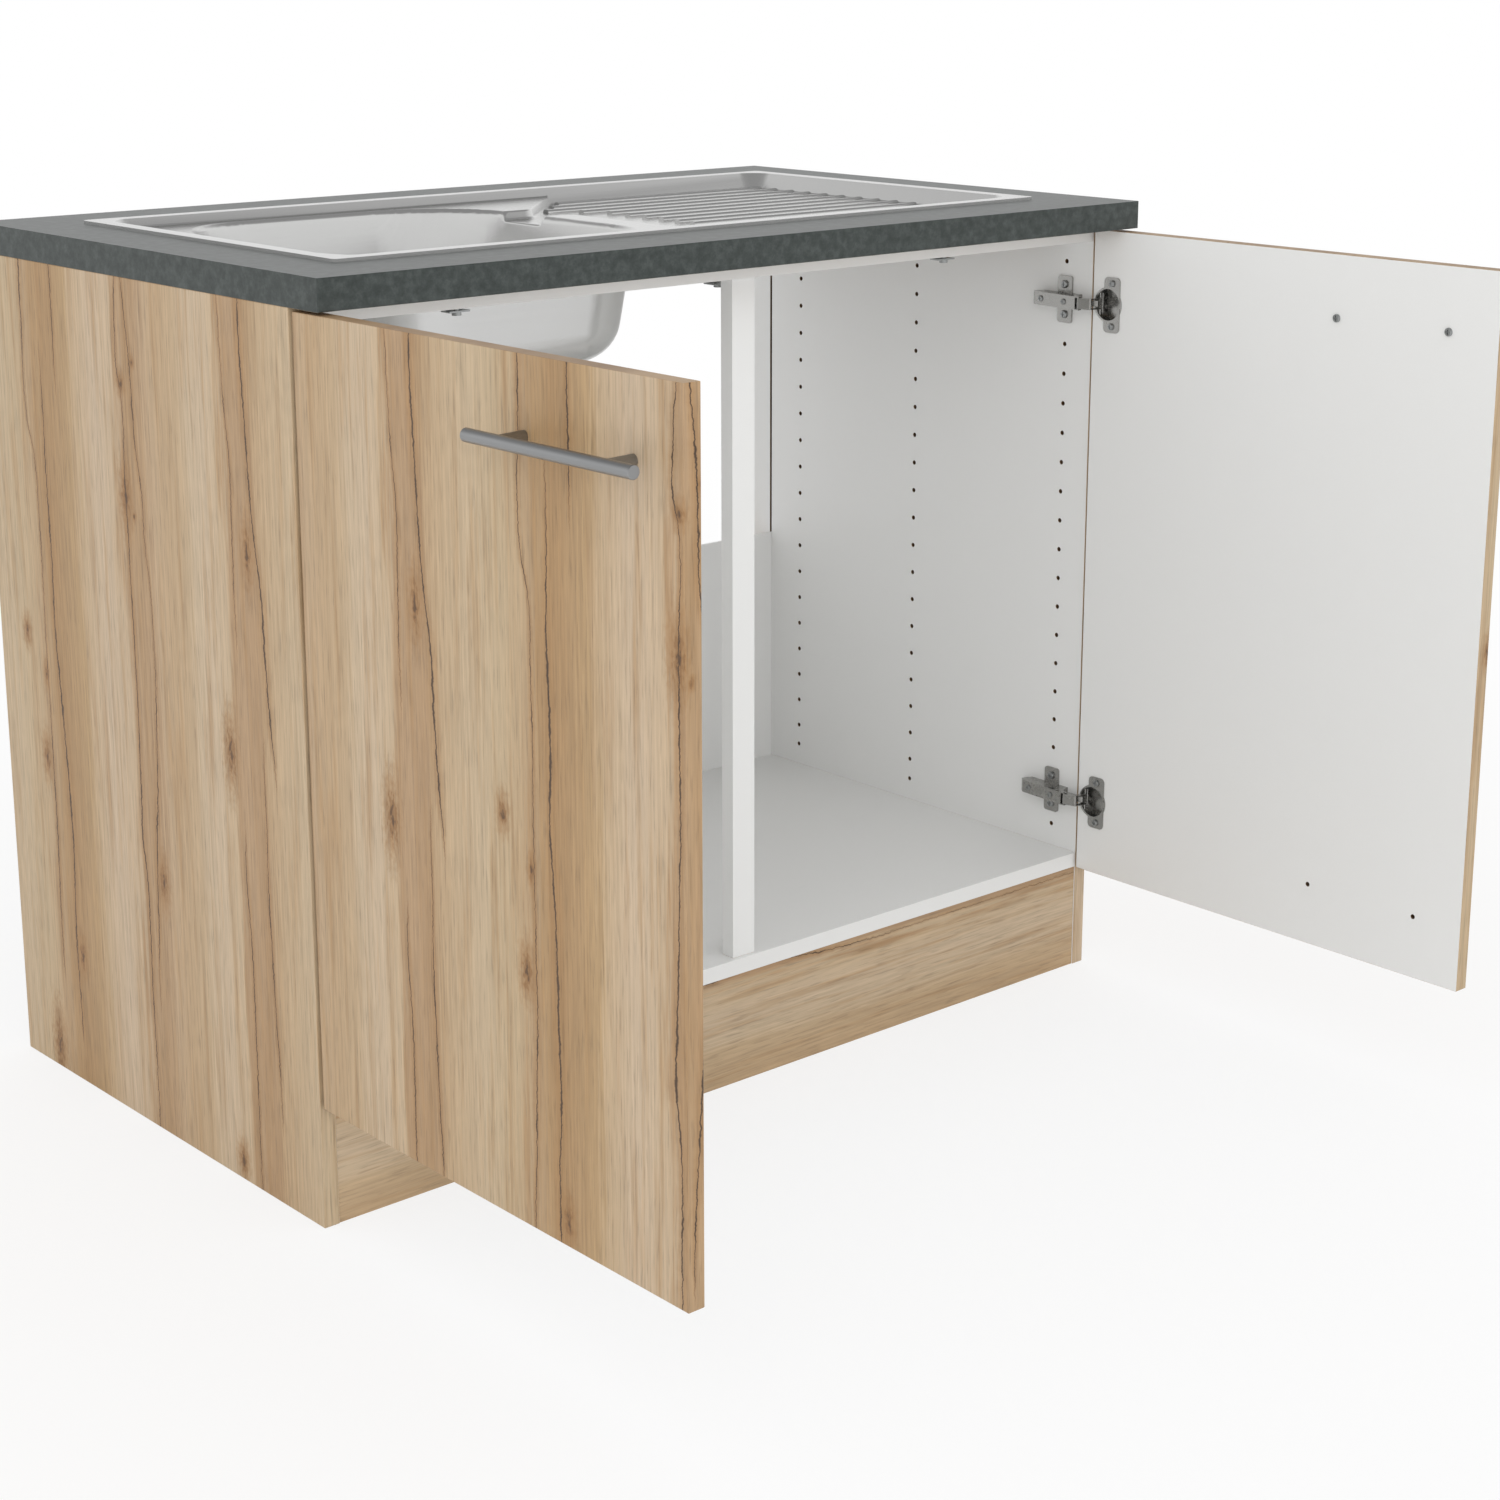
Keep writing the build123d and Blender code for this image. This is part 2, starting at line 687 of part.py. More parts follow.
def handle_screws():
    one = screw(handle_screw_radius, handle_screw_length, handle_screw_head, high_head)
    return [Pos(door_inner, y, handle_z) * Rot(0, -90, 0) * one for y in handle_y]


# ---------------------------------------------------------------- hinges
swing_u = (shut_gap + door_thickness + 2 * side_reveal - open_gap) / 2
swing_v = (shut_gap + door_thickness + open_gap) / 2
spine_low = board + plate_thickness
spine_top = spine_low + plate_thickness
arm_screw_v = (-24.0, -58.0)
arm_roof = 1.2
roof_front = -7.2


def cup_pin(anchor, reach):
    """A link's pin in the cup, placed so that the door shuts on a quarter turn about the swing centre."""
    turn = math.atan2(anchor[1] - swing_v, anchor[0] - swing_u) + math.pi / 4
    return (swing_u + reach * math.cos(turn), swing_v + reach * math.sin(turn))


cup_pin_outer = cup_pin(arm_pin_outer, cup_pin_outer_reach)
cup_pin_inner = cup_pin(arm_pin_inner, cup_pin_inner_reach)


def bar_shape(start, end, half_width):
    """A flat bar with round ends between two places of the hinge."""
    a = Vector(*hinge_point(*start))
    span = Vector(*hinge_point(*end)) - a
    turn = math.degrees(math.atan2(span.Y, span.X))
    middle = a + span / 2
    return Pos(middle.X, middle.Y) * Rot(0, 0, turn) * SlotCenterToCenter(span.length, 2 * half_width)


def hinge_plate():
    """The plate screwed to the side panel: two wings and a raised spine for the arm."""
    x = -half + board
    y = hole_front
    wing = plate_height / 2
    plate = block(x, x + plate_thickness, y - plate_width / 2, y + plate_width / 2, -wing, wing)
    plate = fillet(plate.edges().filter_by(Axis.X), plate_corner)
    plate += block(x, x + spine_top - board, 14.0, arm_back - 4.0, -arm_half_width, arm_half_width)
    for z in (-hole_pitch / 2, hole_pitch / 2):
        plate -= rod((x, y, z), (x + plate_thickness, y, z), hole_radius)
    for v in arm_screw_v:
        plate -= rod((x, -v, 0), (x + spine_top - board, -v, 0), arm_screw_radius + screw_play)
    return plate


def plate_screws():
    one = screw(hole_radius - screw_play, hole_depth + plate_thickness - 1.0, plate_screw_head, high_head)
    places = (-hole_pitch / 2, hole_pitch / 2)
    return [Pos(-half + spine_low, hole_front, z) * Rot(0, -90, 0) * one for z in places]


def arm_outline(du, dv):
    nose = arm_pin_outer[1] + 2.1
    points = [(spine_top, 2 - arm_back), (spine_top + 8, -arm_back), (arm_top - 3.2, 5 - arm_back)]
    points += [(arm_top, -12)]
    points += [(arm_top, nose), (arm_pin_outer[0] - 2.2, nose), (28.5, -10), (spine_top, -14)]
    return hinge_shape([(u + du, v + dv) for u, v in points])


def arm_screw_seat(v):
    """Height of the flat place under an arm screw's head."""
    return arm_top - 3.2 * (v + 12) / (17 - arm_back) - 0.4


def hinge_arm():
    """Folded arm: two cheeks under a roof, with a block and two nose plates inside for the inner link."""
    roof = arm_outline(0, 0) - arm_outline(-arm_roof, arm_sheet)
    roof &= hinge_shape([(0, -100), (50, -100), (50, roof_front), (0, roof_front)])
    arm = layer(arm_outline(0, 0), arm_half_width - arm_sheet, arm_half_width)
    arm += layer(roof, 0, arm_half_width)
    core = hinge_shape([(spine_top, -20), (28, -20), (28.5, -10), (spine_top, -14)])
    arm += layer(core, 0, arm_half_width)
    nose = bar_shape((25.5, -14), arm_pin_inner, 2.2)
    arm += layer(nose, inner_link_half_width + 0.2, inner_link_half_width + 0.2 + arm_sheet)
    arm -= layer(hinge_disc(arm_pin_outer, pin_radius + pin_play), 0, arm_half_width)
    arm -= layer(hinge_disc(arm_pin_inner, pin_radius + pin_play), 0, arm_half_width)
    for v in arm_screw_v:
        x = -half + arm_screw_seat(v)
        arm -= rod((-half + spine_top, -v, 0), (x, -v, 0), arm_screw_radius + screw_play)
        arm -= rod((x, -v, 0), (x + 3, -v, 0), arm_screw_head + drill_play)
    return arm


def arm_screws():
    screws = []
    for v in arm_screw_v:
        length = arm_screw_seat(v) - spine_low - 0.2
        one = screw(arm_screw_radius, length, arm_screw_head, low_head)
        screws.append(Pos(-half + arm_screw_seat(v), -v, 0) * Rot(0, -90, 0) * one)
    return screws


def arm_pins():
    outer = layer(hinge_disc(arm_pin_outer, pin_radius), 0, arm_half_width + 0.6)
    inner_pin = layer(hinge_disc(arm_pin_inner, pin_radius), 0, inner_link_half_width + 0.2 + arm_sheet)
    return [outer, inner_pin]


outer_link_low = inner_link_half_width + 0.2 + arm_sheet + 0.4
outer_link_high = outer_link_low + link_sheet


def outer_link():
    """The cranked outer link: two cheeks joined by a web along the outer edge of the leg at the arm."""
    a = Vector(*arm_pin_outer)
    b = Vector(*cup_pin_outer)
    knee = (a + b) / 2 + (a - b).normalized().rotate(Axis.Z, 90) * link_knee
    out = (knee - a).normalized().rotate(Axis.Z, -90)
    arm_leg = bar_shape((a.X, a.Y), (knee.X, knee.Y), link_half_width)
    legs = arm_leg + bar_shape((knee.X, knee.Y), (b.X, b.Y), link_half_width)
    shift = Pos(-out.X * link_sheet, out.Y * link_sheet)
    link = layer(legs, outer_link_low, outer_link_high) + layer(arm_leg - shift * arm_leg, 0, outer_link_high)
    link -= layer(hinge_disc(arm_pin_outer, pin_radius + pin_play), 0, outer_link_high)
    return link - layer(hinge_disc(cup_pin_outer, pin_radius + pin_play), 0, outer_link_high)


def inner_link():
    """The bent inner link, which stops short of its pin in the cup."""
    a = Vector(*arm_pin_inner)
    b = Vector(*cup_pin_inner)
    out = (a - b).normalized().rotate(Axis.Z, 90)
    knee = (a + b) / 2 + out * inner_link_knee
    along = b - knee
    end = knee + along.normalized() * (along.length - pin_radius - open_pivot_gap - inner_link_width)
    legs = bar_shape((a.X, a.Y), (knee.X, knee.Y), inner_link_width)
    legs += bar_shape((knee.X, knee.Y), (end.X, end.Y), inner_link_width)
    legs += hinge_disc(arm_pin_inner, link_half_width)
    link = layer(legs, 0, inner_link_half_width)
    return link - layer(hinge_disc(arm_pin_inner, pin_radius + pin_play), 0, inner_link_half_width)


def hinge_cup():
    """The pressed cup in the door, with its flange, its two screw holes and the holes for the pins."""
    face = -half + door_face_u
    floor = face - cup_depth
    cup = rod((floor, -cup_v, 0), (face, -cup_v, 0), cup_radius)
    cup += rod((face, -cup_v, 0), (face + 0.8, -cup_v, 0), cup_radius + 1.0)
    plate = Plane.YZ * extrude(RectangleRounded(flange_width, flange_length, 5.0), flange_thickness)
    cup += Pos(face, -cup_screw_v, 0) * plate
    cup -= rod((floor + cup_wall, -cup_v, 0), (face + flange_thickness, -cup_v, 0), cup_radius - cup_wall)
    for z in (-cup_screw_pitch / 2, cup_screw_pitch / 2):
        hole_end = (face + flange_thickness, -cup_screw_v, z)
        cup -= rod((face, -cup_screw_v, z), hole_end, cup_screw_radius + screw_play)
    for pin in (cup_pin_outer, cup_pin_inner):
        cup -= layer(hinge_disc(pin, pin_radius + pin_play), 0, cup_radius)
    return cup


def cup_screws():
    one = screw(cup_screw_radius, hole_depth - 0.5, cup_screw_head, low_head)
    places = (-cup_screw_pitch / 2, cup_screw_pitch / 2)
    return [Pos(door_inner + flange_thickness, -cup_screw_v, z) * Rot(0, -90, 0) * one for z in places]


def cup_pins():
    reach = [math.sqrt((cup_radius - 0.1) ** 2 - (cup_v - pin[1] + pin_radius) ** 2)
             for pin in (cup_pin_outer, cup_pin_inner)]
    stubs = layer(hinge_disc(cup_pin_outer, pin_radius), outer_link_low, reach[0])
    return [stubs, layer(hinge_disc(cup_pin_inner, pin_radius), 0, reach[1])]


# ---------------------------------------------------------------- the whole unit
def both(shapes):
    return shapes + [mirrored(shape) for shape in shapes]


def at_hinges(shapes):
    return [Pos(0, 0, z) * shape for z in hinge_heights for shape in shapes]


pieces = {
    "bottom_panel": [bottom_panel()],
    "plinth_board": [plinth_board()],
    "front_rail": [rail(0, front_rail_depth, worktop_screw_y[0])],
    "rear_rail": [rail(rear_rail_front, carcass_depth, worktop_screw_y[1])],
    "mullion": [mullion()],
    "back_board": [back_board()],
    "worktop": [worktop()],
    "sink": [sink()],
    "sink_seal": [sink_seal()],
    "sink_clips": clips(clip),
    "clip_screws": clips(clip_screw),
    "strainer_flange": [strainer_flange()],
    "strainer_gasket": [strainer_gasket()],
    "waste_body": [waste_body()],
    "waste_tail": [waste_tail()],
    "strainer_screw": [strainer_screw()],
    "strainer_basket": [strainer_basket()],
    "carcass_dowels": both(side_dowels(0)) + upright_dowels(0),
    "cam_bolts": both(cam_bolts(0)),
    "cam_housings": both(cams(0)),
    "worktop_screws": worktop_screws(),
    "plate_screws": both(at_hinges(plate_screws())),
    "arm_screws": both(at_hinges(arm_screws())),
    "arm_pins": both(at_hinges(arm_pins())),
}
one_side = {
    "side_panel": [side_panel()],
    "door": [door()],
    "handle_bar": [handle_bar()],
    "handle_posts": handle_posts(),
    "handle_screws": handle_screws(),
    "cup_screws": at_hinges(cup_screws()),
    "cup_pins": at_hinges(cup_pins()),
}
one_hinge = {
    "hinge_plate": hinge_plate(),
    "hinge_arm": hinge_arm(),
    "outer_link": outer_link(),
    "inner_link": inner_link(),
    "hinge_cup": hinge_cup(),
}
for name, shapes in one_side.items():
    pieces[name + "_left"] = shapes
    pieces[name + "_right"] = [mirrored(shape) for shape in shapes]
for name, shape in one_hinge.items():
    for level, z in zip(("bottom", "top"), hinge_heights):
        pieces[name + "_left_" + level] = [Pos(0, 0, z) * shape]
        pieces[name + "_right_" + level] = [mirrored(Pos(0, 0, z) * shape)]

outline_shift = Pos(0, -(door_far + carcass_depth) / 2, 0)
os.makedirs("parts", exist_ok=True)
for name, shapes in pieces.items():
    placed = [outline_shift * solid for shape in shapes for solid in shape.solids()]
    export_step(placed[0] if len(placed) == 1 else Compound(children=placed), "parts/" + name + ".step")
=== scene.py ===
import json
import math

import bmesh
import bpy
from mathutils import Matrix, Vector

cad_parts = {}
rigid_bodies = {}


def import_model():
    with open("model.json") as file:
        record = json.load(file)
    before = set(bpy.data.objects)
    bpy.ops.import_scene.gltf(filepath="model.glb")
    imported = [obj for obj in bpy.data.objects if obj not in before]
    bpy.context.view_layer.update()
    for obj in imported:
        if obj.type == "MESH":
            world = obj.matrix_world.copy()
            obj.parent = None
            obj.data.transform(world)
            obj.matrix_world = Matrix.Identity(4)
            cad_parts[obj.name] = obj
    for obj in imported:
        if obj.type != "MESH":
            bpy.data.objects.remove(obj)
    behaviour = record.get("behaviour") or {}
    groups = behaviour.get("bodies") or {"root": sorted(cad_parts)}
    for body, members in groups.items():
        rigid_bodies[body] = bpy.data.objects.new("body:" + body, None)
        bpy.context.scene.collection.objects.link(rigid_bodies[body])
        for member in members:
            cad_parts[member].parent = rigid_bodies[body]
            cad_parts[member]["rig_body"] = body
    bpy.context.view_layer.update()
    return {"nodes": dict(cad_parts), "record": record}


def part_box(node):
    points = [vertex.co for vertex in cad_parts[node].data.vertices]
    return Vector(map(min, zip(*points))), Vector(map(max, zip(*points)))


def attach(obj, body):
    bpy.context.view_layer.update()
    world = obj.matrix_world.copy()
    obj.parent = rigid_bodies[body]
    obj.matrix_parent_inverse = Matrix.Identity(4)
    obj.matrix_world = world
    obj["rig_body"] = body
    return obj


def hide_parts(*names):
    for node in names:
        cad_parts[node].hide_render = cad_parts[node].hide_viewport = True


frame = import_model()
nodes = frame["nodes"]
slotOf = {part["node"]: part["material_slot"] for part in frame["record"]["subparts"]}
print("frame loaded:", len(nodes), "nodes")


def corners(name):  # the lowest and highest corner of a node in millimetres
    return [corner * 1000 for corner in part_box(name)]


def linear(hexColour):  # an sRGB hex value as linear RGBA
    channels = [int(hexColour[i:i + 2], 16) / 255 for i in (1, 3, 5)]
    return [c / 12.92 if c <= 0.04045 else ((c + 0.055) / 1.055) ** 2.4 for c in channels] + [1.0]


def addNode(tree, kind, inputs=None, output=0, stops=None, points=None, handle="AUTO", **settings):
    # adds one node with its settings, stops or curve points and links, and gives back one output
    node = tree.nodes.new("ShaderNode" + kind)
    for name, value in settings.items():
        setattr(node, name, value)
    if stops:
        ramp = node.color_ramp.elements
        while len(ramp) > 1:
            ramp.remove(ramp[-1])
        ramp[0].position, ramp[0].color = stops[0][0], linear(stops[0][1])
        for position, colour in stops[1:]:
            ramp.new(position).color = linear(colour)
    if points:
        curve = node.mapping.curves[0]
        while len(curve.points) < len(points):
            curve.points.new(0.5, 0.5)
        for point, place in zip(curve.points, sorted(points)):
            point.location = place
            point.handle_type = handle
        node.mapping.update()
    for key, value in (inputs or {}).items():
        if isinstance(value, bpy.types.NodeSocket):
            tree.links.new(value, node.inputs[key])
        else:
            node.inputs[key].default_value = value
    return node.outputs[output] if len(node.outputs) else None


def startMaterial(name):
    material = bpy.data.materials.new(name)
    material.use_nodes = True
    material.node_tree.nodes.clear()
    return material, material.node_tree


def objectPlace(tree):  # the place on the piece in millimetres
    place = addNode(tree, "TexCoord", output="Object")
    return addNode(tree, "VectorMath", {0: place, "Scale": 1000.0}, operation="SCALE")


def drawnNoise(tree, place, lengths, detail, roughness=0.5, start=(0.0, 0.0, 0.0)):
    # noise drawn out to so many millimetres along each axis; with two lengths it is flat
    scale = [1 / length for length in lengths] + [1.0] * (3 - len(lengths))
    drawn = addNode(tree, "Mapping", {0: place, "Scale": scale, "Location": start})
    return addNode(tree, "TexNoise", {0: drawn, "Scale": 1.0, "Detail": detail,
                                      "Roughness": roughness},
                   noise_dimensions=f"{len(lengths)}D")


# Wild oak: paper foil printed with knotty oak and pressed onto chipboard. Matt, with fine pores,
# brown bands and dark cracks. Lengths are millimetres, and a pair of them is across and along.
oakPrint = {
    "repeat": 530.0,  # the print comes round again after this length
    "seam": 100.0,
    "height": 820.0,
    "roughness": 0.5,
    # each band: place across and colour
    "bands": ((100, "#c3b098"), (128, "#c0ab90"), (138, "#ae9376"), (150, "#b0967a"),
              (164, "#ad9275"), (178, "#ab9073"), (188, "#b79f82"), (205, "#bca68a"),
              (245, "#bfac92"), (280, "#bca88c"), (303, "#b8a184"), (316, "#b0977a"),
              (330, "#ac906f"), (350, "#a78a69"), (372, "#ab9070"), (392, "#b29877"),
              (404, "#bda78b"), (440, "#c3b099"), (478, "#bfaa90"), (488, "#b0967a"),
              (508, "#ab9072"), (526, "#b0967a"), (536, "#b8a186"), (560, "#b8a083"),
              (592, "#bba589"), (604, "#c1ae95"), (630, "#c3b098")),
    # each crack: height, place across and width, from the top down
    "cracks": (
        ((820, 170, 1.3), (744, 171, 1.7), (680, 174, 1.3), (608, 181, 1.2), (568, 187, 1.5),
         (513, 188, 1.6), (449, 193, 1.5), (418, 197, 0.7), (390, 199, 0.0)),
        ((820, 137, 0.3), (724, 141, 0.8), (681, 146, 0.9), (615, 145, 0.8), (531, 144, 0.5),
         (500, 144, 0.0)),
        ((820, 309, 1.3), (767, 308, 1.1), (670, 306, 0.8), (634, 316, 0.7), (568, 318, 0.7),
         (404, 318, 0.6), (305, 317, 1.1), (222, 315, 1.2), (133, 313, 0.7), (100, 312, 0.0)),
        ((750, 340, 0.0), (700, 340, 0.7), (599, 338, 1.6), (521, 340, 1.9), (454, 338, 1.3),
         (424, 341, 2.0), (314, 346, 2.1), (243, 347, 1.8), (177, 343, 1.3), (60, 343, 1.1),
         (40, 343, 0.0)),
        ((820, 369, 1.0), (760, 369, 1.3), (708, 368, 0.4), (690, 368, 0.0)),
        ((820, 491, 0.9), (776, 487, 1.0), (732, 487, 1.0), (718, 492, 0.5), (620, 492, 1.2),
         (494, 492, 1.3), (436, 491, 1.0), (331, 489, 1.9), (292, 487, 2.1), (255, 491, 1.4),
         (118, 491, 1.2), (0, 490, 0.9)),
        ((820, 503, 0.8), (750, 510, 1.3), (665, 513, 1.0), (629, 520, 0.9), (573, 522, 0.8),
         (528, 528, 0.5), (384, 524, 1.1), (290, 514, 1.3), (207, 508, 1.0), (148, 505, 0.5),
         (120, 505, 0.0)),
        ((350, 144, 0.0), (300, 143, 1.1), (236, 148, 1.2), (154, 146, 1.1), (20, 145, 0.8),
         (0, 145, 0.7)),
        ((450, 180, 0.0), (400, 180, 0.5), (264, 180, 1.1), (205, 181, 1.0), (93, 185, 0.5),
         (60, 185, 0.0)),
    ),
    "crack": "#4b3a2c",
    "widest": 4.0,  # the curve of a crack's width counts in shares of this
    "beside": (0.5, "#9c7a57"),  # a faint stain on both sides of a crack
    # each knot: place across, height, half width and half height
    "knots": ((493, 724, 3.2, 4.5), (492, 620, 4.5, 13.0), (505, 603, 1.6, 2.6),
              (168, 600, 3.4, 13.0), (125, 414, 4.6, 15.0), (280, 455, 3.4, 7.0),
              (305, 332, 3.8, 10.0), (315, 417, 2.2, 6.0), (523, 258, 3.8, 11.0),
              (114, 19, 4.0, 8.0), (292, 24, 5.0, 18.0), (353, 137, 3.8, 9.0),
              (515, 745, 1.8, 3.0)),
    # stain, ring and core of a knot: outer and inner edge in knot sizes, share and colour
    "knotLayers": ((4.2, 1.0, 0.75, "#9c7a57"), (1.6, 0.9, 0.8, "#8d6c4c"),
                   (0.75, 0.1, 0.9, "#5c4532")),
    "knotUneven": (3.5, 7), "knotWander": 0.6,
    "wanderSize": (60, 190), "wander": 3.4,  # how far bands and cracks sway
    # real fibres and pores are under 1 mm wide, these are drawn 2 to 3 mm wide so that they show
    "fibreSize": (2.6, 120), "fibre": 0.13,
    "poreSize": (2.1, 34), "pores": 0.2,
    "streakSize": (11, 240), "streaks": 0.6, "streak": "#a38462",
    "feather": 0.016, "fray": 0.034,  # blur of the bands by streaks and by fibres, per repeat
    "ringSize": (75, 420), "ringCount": 95.0, "rings": 0.02,  # growth lines about 6 mm apart
    "jagSize": (30, 8), "jag": 1.8,
    "breakSize": (40, 22),
    "depth": 1.12,
}


def oakFoil(tree, across, along):
    # colour and relief of the foil; across and along are millimetres on the print
    look = oakPrint
    onFoil = addNode(tree, "CombineXYZ", {0: across, 1: along})
    wander = drawnNoise(tree, onFoil, look["wanderSize"], 3.0)
    wander = addNode(tree, "MapRange", {0: wander, 3: -look["wander"], 4: look["wander"]})
    share = addNode(tree, "Math", {0: across, 1: wander}, operation="ADD")
    share = addNode(tree, "Math", {0: share, 1: look["seam"]}, operation="SUBTRACT")
    share = addNode(tree, "Math", {0: share, 1: look["repeat"]}, operation="DIVIDE")
    share = addNode(tree, "Math", {0: share}, operation="FRACT")
    level = addNode(tree, "Math", {0: along, 1: look["height"]}, operation="DIVIDE",
                    use_clamp=True)

    # fibres and short dark pores
    fibre = drawnNoise(tree, onFoil, look["fibreSize"], 3.0, 0.6)
    pore = drawnNoise(tree, onFoil, look["poreSize"], 2.0, 0.55, start=(7.0, 3.0, 0.0))
    pore = addNode(tree, "MapRange", {0: pore, 1: 0.56, 2: 0.74})

    # broad bands, feathered by the fibres, with soft streaks that come and go along the grain
    soft = drawnNoise(tree, onFoil, look["streakSize"], 4.0, 0.62)
    shifted = addNode(tree, "MapRange", {0: soft, 1: 0.3, 2: 0.7,
                                         3: -look["feather"], 4: look["feather"]})
    shifted = addNode(tree, "Math", {0: share, 1: shifted}, operation="ADD")
    shifted = addNode(tree, "Math", {0: fibre, 1: look["fray"], 2: shifted},
                      operation="MULTIPLY_ADD")
    shifted = addNode(tree, "Math", {0: shifted, 1: look["fray"] / 2}, operation="SUBTRACT")
    shifted = addNode(tree, "Math", {0: shifted}, operation="FRACT")
    bands = [((band - look["seam"]) / look["repeat"], tone) for band, tone in look["bands"]]
    colour = addNode(tree, "ValToRGB", {0: shifted}, stops=bands)
    streaks = addNode(tree, "MapRange", {0: soft, 1: 0.5, 2: 0.74, 4: look["streaks"]})
    colour = addNode(tree, "Mix", {0: streaks, 6: colour, 7: linear(look["streak"])}, 2,
                     data_type="RGBA")

    # growth lines, drawn together and apart by slow noise
    rings = drawnNoise(tree, onFoil, look["ringSize"], 2.0)
    rings = addNode(tree, "Math", {0: rings, 1: look["ringCount"]}, operation="MULTIPLY")
    rings = addNode(tree, "Math", {0: rings}, operation="SINE")

    value = addNode(tree, "MapRange", {0: fibre, 1: 0.25, 2: 0.75,
                                       3: 1 - look["fibre"], 4: 1 + look["fibre"]})
    value = addNode(tree, "Math", {0: rings, 1: look["rings"], 2: value},
                    operation="MULTIPLY_ADD")
    value = addNode(tree, "Math", {0: pore, 1: -look["pores"], 2: value},
                    operation="MULTIPLY_ADD")

    # cracks: the distance from each line in shares of its own width, and the nearest one counts
    jag = drawnNoise(tree, onFoil, look["jagSize"], 3.0, 0.7)
    jag = addNode(tree, "MapRange", {0: jag, 3: -look["jag"] / look["repeat"],
                                     4: look["jag"] / look["repeat"]})
    jagged = addNode(tree, "Math", {0: share, 1: jag}, operation="ADD")
    nearest = None
    for crack in look["cracks"]:
        ends = [(1.0,) + crack[0][1:], (0.0,) + crack[-1][1:]]
        course = [(z / look["height"], u, w) for z, u, w in crack] + ends
        course = {round(z, 4): ((u - look["seam"]) / look["repeat"], w / look["widest"])
                  for z, u, w in reversed(course)}
        line = addNode(tree, "FloatCurve", {1: level},
                       points=[(z, u) for z, (u, w) in course.items()])
        width = addNode(tree, "FloatCurve", {1: level},
                        points=[(z, w) for z, (u, w) in course.items()], handle="VECTOR")
        width = addNode(tree, "Math", {0: width, 1: look["widest"] / look["repeat"], 2: 1e-6},
                        operation="MULTIPLY_ADD")
        gap = addNode(tree, "Math", {0: jagged, 1: line}, operation="SUBTRACT")
        gap = addNode(tree, "Math", {0: gap}, operation="ABSOLUTE")
        gap = addNode(tree, "Math", {0: gap, 1: width}, operation="DIVIDE")
        if nearest is not None:
            gap = addNode(tree, "Math", {0: nearest, 1: gap}, operation="MINIMUM")
        nearest = gap
    broken = drawnNoise(tree, onFoil, look["breakSize"], 3.0)
    broken = addNode(tree, "MapRange", {0: broken, 1: 0.35, 2: 0.65, 3: 1.7, 4: 0.8})
    cracked = addNode(tree, "Math", {0: nearest, 1: broken}, operation="MULTIPLY")
    cracked = addNode(tree, "MapRange", {0: cracked, 1: 1.1, 2: 0.25},
                      interpolation_type="SMOOTHSTEP")
    beside = addNode(tree, "MapRange", {0: nearest, 1: 7.0, 2: 1.0, 4: look["beside"][0]},
                     interpolation_type="SMOOTHSTEP")

    # knots: the distance from the nearest one in knot sizes, made uneven
    onPrint = addNode(tree, "Math", {0: share, 1: look["repeat"]}, operation="MULTIPLY")
    onPrint = addNode(tree, "CombineXYZ", {0: onPrint, 1: along})
    knot = None
    for knotAcross, height, wide, tall in look["knots"]:
        centre = ((knotAcross - look["seam"]) % look["repeat"] / wide, height / tall)
        near = addNode(tree, "Mapping", {0: onPrint, "Location": (-centre[0], -centre[1], 0),
                                         "Scale": (1 / wide, 1 / tall, 1)})
        near = addNode(tree, "VectorMath", {0: near}, "Value", operation="LENGTH")
        if knot is not None:
            near = addNode(tree, "Math", {0: knot, 1: near}, operation="MINIMUM")
        knot = near
    uneven = drawnNoise(tree, onFoil, look["knotUneven"], 3.0)
    uneven = addNode(tree, "MapRange", {0: uneven, 1: 0.3, 2: 0.7,
                                        3: -look["knotWander"], 4: look["knotWander"]})
    knot = addNode(tree, "Math", {0: knot, 1: uneven}, operation="ADD")

    marks = [(beside, look["beside"][1])]
    for outer, inner, most, dark in look["knotLayers"]:
        layer = addNode(tree, "MapRange", {0: knot, 1: outer, 2: inner, 4: most},
                        interpolation_type="SMOOTHSTEP")
        marks.append((layer, dark))
    marks.append((cracked, look["crack"]))
    for factor, dark in marks:
        colour = addNode(tree, "Mix", {0: factor, 6: colour, 7: linear(dark)}, 2,
                         data_type="RGBA")
    colour = addNode(tree, "HueSaturation", {"Color": colour, "Saturation": look["depth"]})
    colour = addNode(tree, "VectorMath", {0: colour, "Scale": value}, operation="SCALE")
    relief = addNode(tree, "Math", {0: pore, 1: cracked}, operation="ADD")
    return colour, relief


# raw chipboard shows chips of a few millimetres, light and brown; hardboard is evenly brown, fine
rawBoards = {
    "chipboard": {"grain": 2.4, "stops": ((0.3, "#927452"), (0.5, "#b0926b"), (0.72, "#c8b08a"))},
    "hardboard": {"grain": 1.1, "stops": ((0.3, "#8d7054"), (0.7, "#9c7f61"))},
}


def rawBoard(tree, place, kind="chipboard"):
    board = rawBoards[kind]
    chips = addNode(tree, "TexNoise", {0: place, "Scale": 1 / board["grain"], "Detail": 3.0})
    return addNode(tree, "ValToRGB", {0: chips}, stops=board["stops"])


def nearPlane(tree, place, axis, level, reach=0.12):  # 1 on the face that lies at that level
    apart = addNode(tree, "SeparateXYZ", {0: place}, axis)
    return addNode(tree, "Math", {0: apart, 1: level, 2: reach}, operation="COMPARE")


